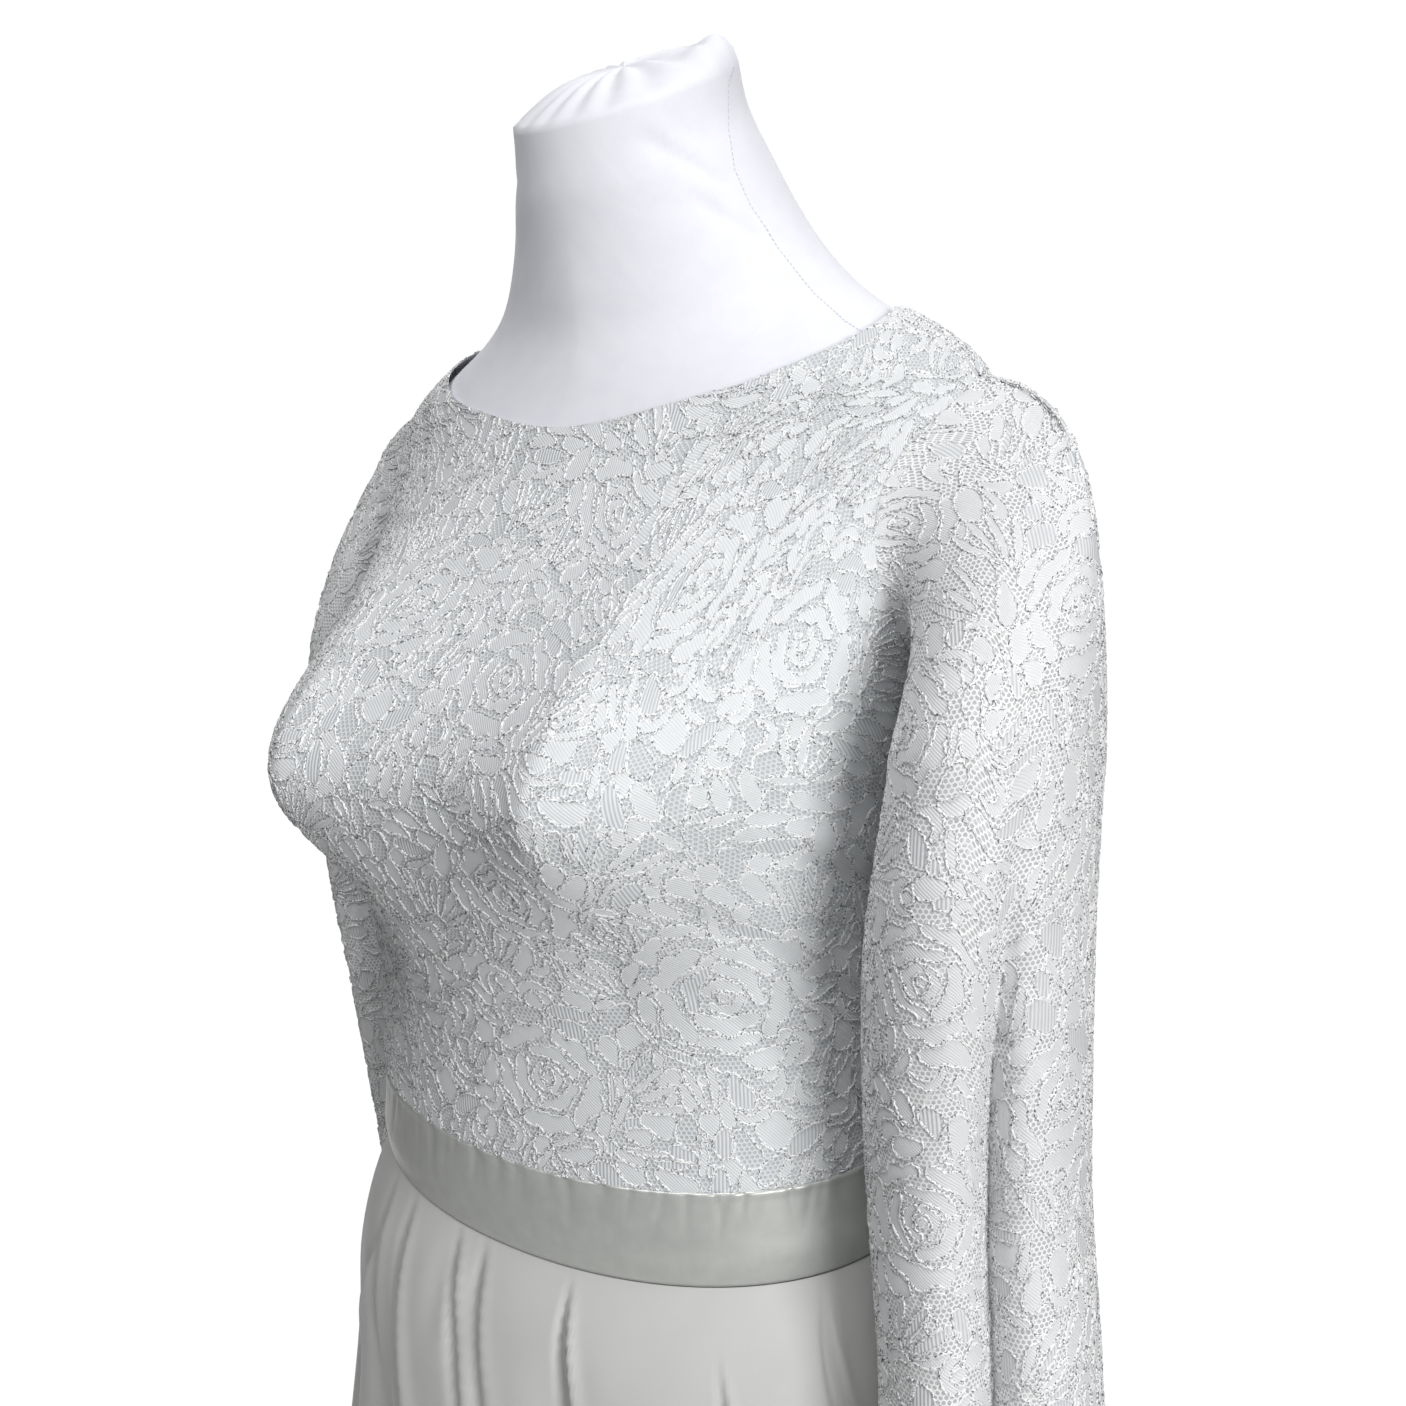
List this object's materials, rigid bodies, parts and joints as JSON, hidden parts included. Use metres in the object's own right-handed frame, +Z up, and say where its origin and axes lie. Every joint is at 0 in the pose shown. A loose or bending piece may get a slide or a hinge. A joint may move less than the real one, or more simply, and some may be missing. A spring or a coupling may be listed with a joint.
{
  "type": "party dress on a dress form",
  "caption": "Long-sleeved lace party dress with a plain waistband and a long flared skirt, worn by a limbless dress form on a pole and round base.",
  "frame": {"origin": "centre of the base's underside, on the floor, on the stand's axis", "axes": "+Z up along the stand; the dress's front faces -Y; +X is the wearer's left"},
  "size_m": [0.7457, 0.7011, 1.5639],
  "materials": {
    "lined_lace": "ivory corded floral lace over an opaque lining",
    "sheer_lace": "ivory corded floral lace, unlined and sheer",
    "satin": "smooth ivory satin, softly shining",
    "crepe": "smooth matt ivory crepe",
    "jersey": "cool white jersey",
    "steel_tube": "brushed",
    "powder_coat": "white powder coat",
    "zip_tape": "ivory coil and tape",
    "zip_enamel": "ivory enamel"
  },
  "bodies": {
    "dress_on_form": {"bodice_back_left": "lined_lace", "bodice_back_right": "lined_lace", "bodice_front": "lined_lace", "dress_form": "jersey", "skirt_back_left": "crepe", "skirt_back_right": "crepe", "skirt_front": "crepe", "sleeve_left": "sheer_lace", "sleeve_right": "sheer_lace", "stand_base": "powder_coat", "stand_pole": "steel_tube", "waistband_back_left": "satin", "waistband_back_right": "satin", "waistband_front": "satin", "zip_slider": "zip_enamel", "zip_strip": "zip_tape"},
    "zip_pull": {"zip_pull": "zip_enamel"}
  },
  "joints": [
    {"name": "zip_pull_swing", "type": "hinge", "parent": "dress_on_form", "child": "zip_pull", "pos_m": [0, 0.10614, 1.39379], "axis": [1, 0, 0], "range_deg": [0, 135]}
  ]
}
